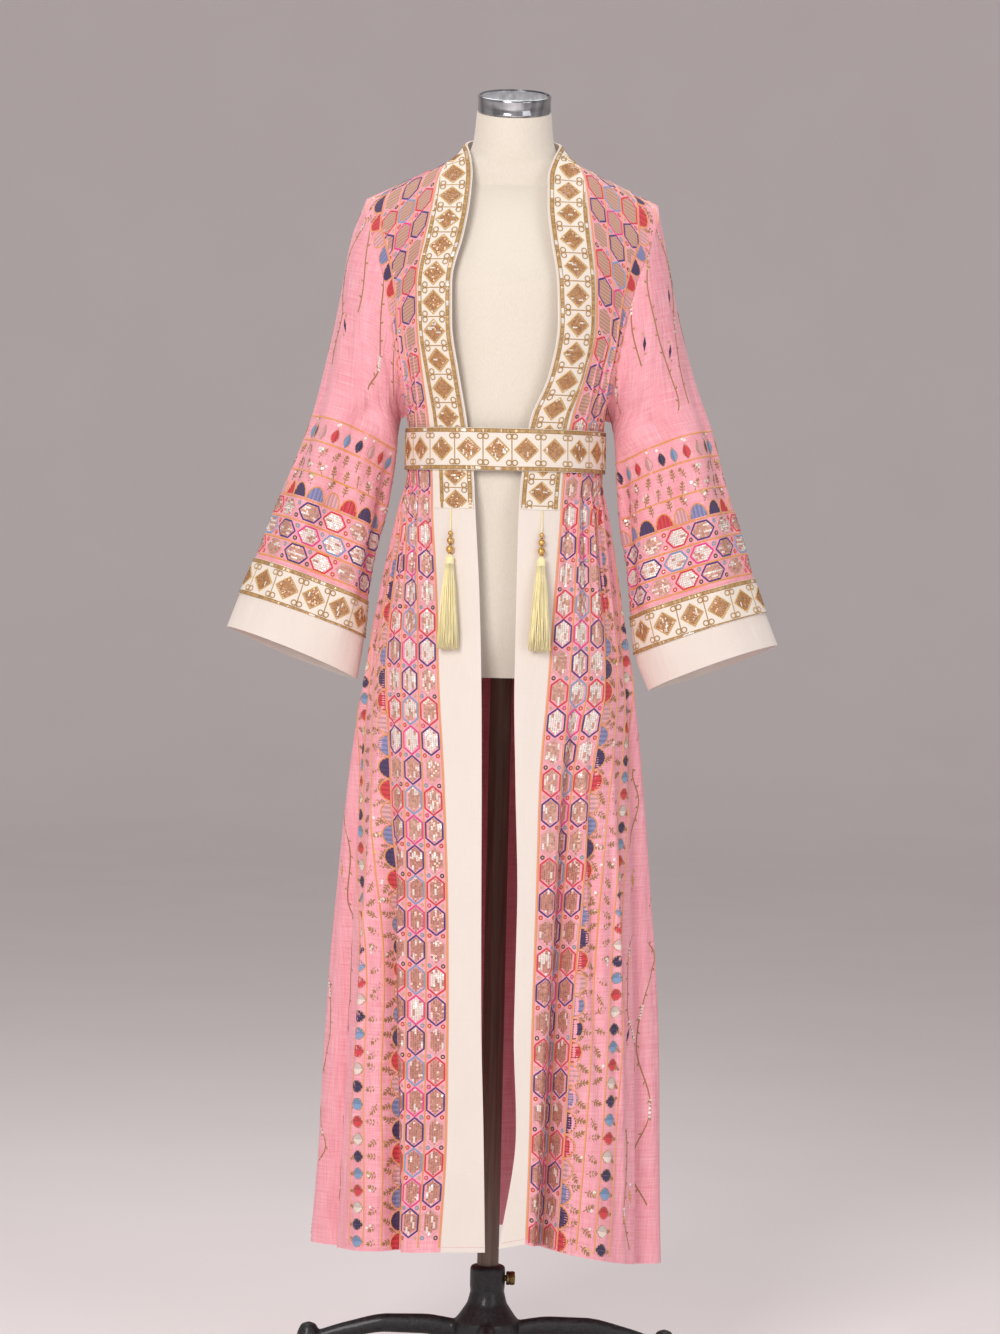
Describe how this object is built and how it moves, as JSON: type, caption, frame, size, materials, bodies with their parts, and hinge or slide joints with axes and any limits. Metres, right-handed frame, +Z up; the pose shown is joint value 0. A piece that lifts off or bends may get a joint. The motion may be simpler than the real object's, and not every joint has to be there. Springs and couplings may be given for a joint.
{
  "type": "open-front abaya on a dress form stand",
  "caption": "Belted open-front abaya with wide sleeves, trimmed front bands and tassels, standing on a limbless dress form with a height-adjustable cast foot.",
  "frame": {"origin": "on the floor, under the middle of the post", "axes": "+Z up, the front of the garment faces -Y, the wearer's right side is at -X"},
  "size_m": [0.7122, 0.495, 1.6978],
  "materials": {
    "pink_cloth": "slubby woven viscose, embroidered and sequinned",
    "cream_cloth": "smooth matte crepe",
    "gold_trim": "cream ribbon worked with metallic thread and sequins",
    "silk": "lustrous twisted silk",
    "bead": "gold pearl",
    "jersey": "stretched cream jersey cover",
    "chrome": "polished",
    "cap_disc": "dark satin",
    "post_paint": "grey-brown satin paint",
    "cast_iron": "black stove enamel over a sand casting",
    "screw_brass": "tarnished"
  },
  "bodies": {
    "stand": {"stand_hub": "cast_iron", "leg_left": "cast_iron", "leg_back": "cast_iron", "leg_right": "cast_iron", "leg_front": "cast_iron"},
    "form": {"post": "post_paint", "form_torso": "jersey", "neck_cap": "chrome", "neck_cap_disc": "cap_disc", "front_right": "pink_cloth", "front_left": "pink_cloth", "back": "pink_cloth", "sleeve_right": "pink_cloth", "sleeve_left": "pink_cloth", "band_right": "cream_cloth", "band_left": "cream_cloth", "neck_band": "cream_cloth", "cuff_right": "cream_cloth", "cuff_left": "cream_cloth", "trim_right": "gold_trim", "trim_left": "gold_trim", "trim_neck": "gold_trim", "cuff_trim_right": "gold_trim", "cuff_trim_left": "gold_trim", "belt": "gold_trim", "tassel_cord_right": "silk", "tassel_cord_left": "silk", "tassel_beads_right": "bead", "tassel_beads_left": "bead", "tassel_right": "silk", "tassel_left": "silk"},
    "screw": {"clamp_screw": "screw_brass"}
  },
  "joints": [
    {"name": "height", "type": "slide", "parent": "stand", "child": "form", "axis": [0, 0, 1], "range_m": [-0.015, 0.09]},
    {"name": "clamp", "type": "hinge", "parent": "stand", "child": "screw", "pos_m": [0.03, 0, 0.149], "axis": [1, 0, 0], "range_deg": [0, 360]}
  ]
}
